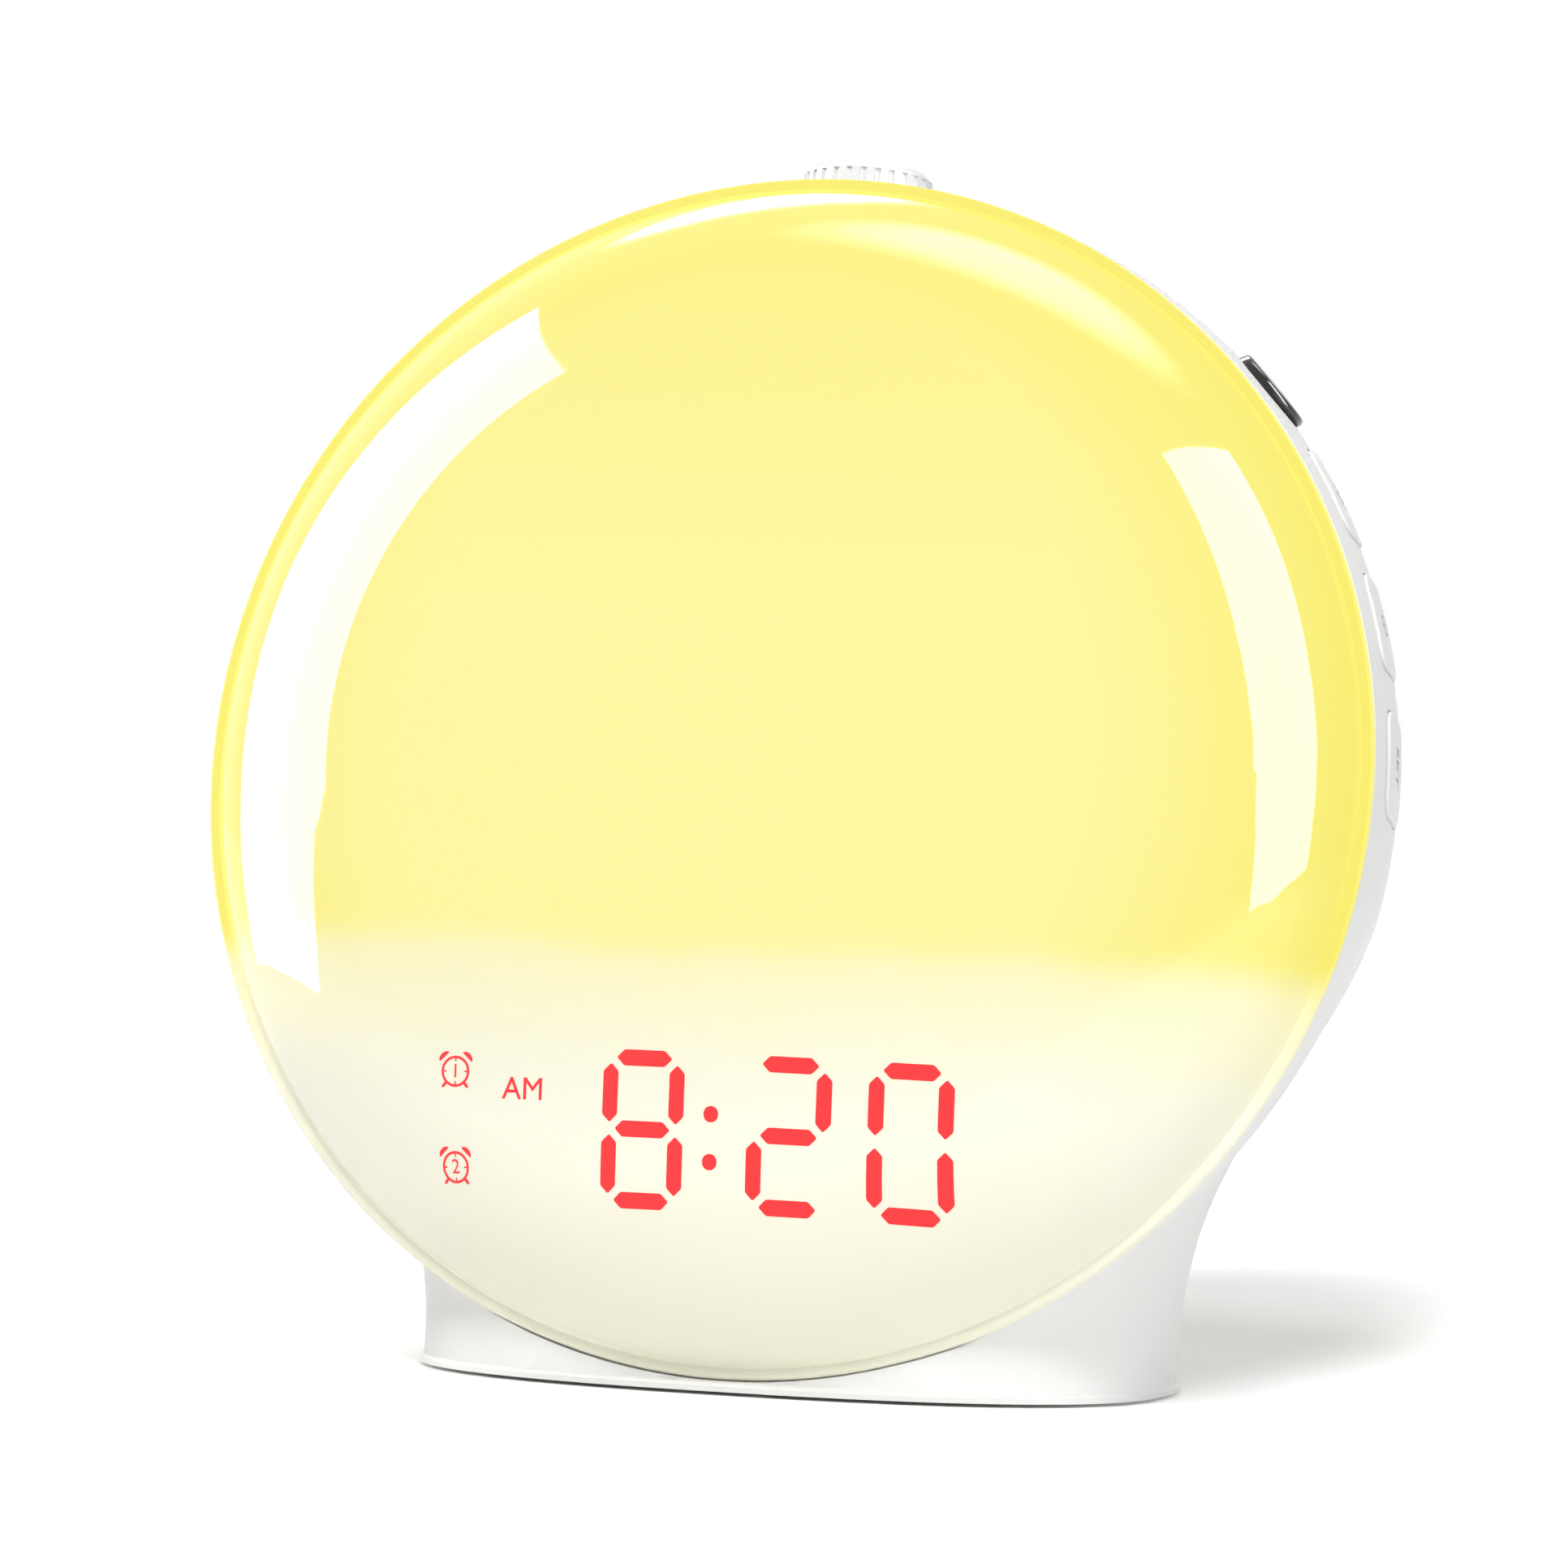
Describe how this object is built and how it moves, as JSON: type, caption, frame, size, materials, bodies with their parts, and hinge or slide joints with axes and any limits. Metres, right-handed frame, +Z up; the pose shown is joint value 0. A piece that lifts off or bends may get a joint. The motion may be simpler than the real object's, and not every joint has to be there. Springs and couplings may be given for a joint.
{
  "type": "alarm_clock",
  "caption": "Bedside sunrise alarm clock: a round milky light dome with a display low in it, leaning on a necked white housing with a dial on top and push keys on its right edge",
  "frame": {"origin": "middle of the footprint, on the surface that the clock stands on", "axes": "+X to the clock's own right as seen from in front, +Y from the display to the back, +Z up"},
  "size_m": [0.1648, 0.0836, 0.167],
  "materials": {
    "housing_white": "fine matte moulded",
    "dome_milky": "milky translucent diffuser, lit warm from inside",
    "reflector_white": "bright white inner face",
    "zinc_steel": "zinc plated",
    "board_white": "white solder mask",
    "board_green": "green solder mask",
    "led_chip": "phosphor face",
    "black_plastic": "black moulded",
    "light_pipe": "clear moulding lit red",
    "knob_white": "satin",
    "button_white": "satin",
    "button_black": "polished",
    "switch_steel": "stamped cover",
    "base_white": "fine matte moulded",
    "foot_rubber": "matte",
    "cell_steel": "polished nickel plate",
    "speaker_steel": "black painted",
    "speaker_paper": "treated paper",
    "magnet_dark": "sintered ferrite",
    "ribbon_grey": "flat ribbon insulation",
    "lead_insulation": "soft insulation",
    "plug_white": "natural nylon"
  },
  "bodies": {
    "clock_body": {"housing_shell": "housing_white", "diffuser_dome": "dome_milky", "dome_screws": "zinc_steel", "light_reflector": "reflector_white", "reflector_screws": "zinc_steel", "light_board": "board_white", "light_leds": "led_chip", "light_board_screws": "zinc_steel", "display_carrier": "black_plastic", "carrier_screws": "zinc_steel", "display_module": "black_plastic", "display_board": "board_green", "display_screws": "zinc_steel", "digit_segments": "light_pipe", "encoder_body": "black_plastic", "encoder_board": "board_green", "encoder_screws": "zinc_steel", "tact_switches": "switch_steel", "button_board": "board_green", "button_board_screws": "zinc_steel", "base_plate": "base_white", "rubber_feet": "foot_rubber", "base_screws": "zinc_steel", "coin_cell": "cell_steel", "battery_holder": "black_plastic", "cell_contact": "cell_steel", "main_board": "board_green", "main_board_screws": "zinc_steel", "dc_socket": "black_plastic", "board_parts": "black_plastic", "rear_cover": "housing_white", "rear_screws": "zinc_steel", "speaker_frame": "speaker_steel", "speaker_cone": "speaker_paper", "speaker_magnet": "magnet_dark", "speaker_screws": "zinc_steel", "display_ribbon": "ribbon_grey", "light_leads": "lead_insulation", "speaker_leads": "lead_insulation", "board_plugs": "plug_white", "display_board_plug": "plug_white"},
    "dial": {"dial_knob": "knob_white", "encoder_shaft": "zinc_steel"},
    "lower_key": {"lower_button": "button_white", "lower_plunger": "black_plastic"},
    "middle_key": {"middle_button": "button_white", "middle_plunger": "black_plastic"},
    "upper_key": {"upper_button": "button_white", "upper_plunger": "black_plastic"},
    "power_key": {"power_button": "button_black", "power_plunger": "black_plastic"},
    "cell_door": {"battery_door": "base_white"}
  },
  "joints": [
    {"name": "dial_turn", "type": "hinge", "parent": "clock_body", "child": "dial", "pos_m": [0, 0.01637, 0.16277], "axis": [0, 0.1644, 0.9864], "continuous": true},
    {"name": "lower_press", "type": "slide", "parent": "clock_body", "child": "lower_key", "axis": [-0.9178, -0.0653, -0.3917], "range_m": [0, 0.0005], "stiffness_N_per_m": 600, "springref_m": -0.001},
    {"name": "middle_press", "type": "slide", "parent": "clock_body", "child": "middle_key", "axis": [-0.9178, -0.0653, -0.3917], "range_m": [0, 0.0005], "stiffness_N_per_m": 600, "springref_m": -0.001},
    {"name": "upper_press", "type": "slide", "parent": "clock_body", "child": "upper_key", "axis": [-0.9178, -0.0653, -0.3917], "range_m": [0, 0.0005], "stiffness_N_per_m": 600, "springref_m": -0.001},
    {"name": "power_press", "type": "slide", "parent": "clock_body", "child": "power_key", "axis": [-0.9178, -0.0653, -0.3917], "range_m": [0, 0.0005], "stiffness_N_per_m": 600, "springref_m": -0.001},
    {"name": "cell_door_turn", "type": "hinge", "parent": "clock_body", "child": "cell_door", "pos_m": [0, 0.013, 0.0017], "axis": [0, 0, 1], "range_deg": [0, 45]}
  ]
}
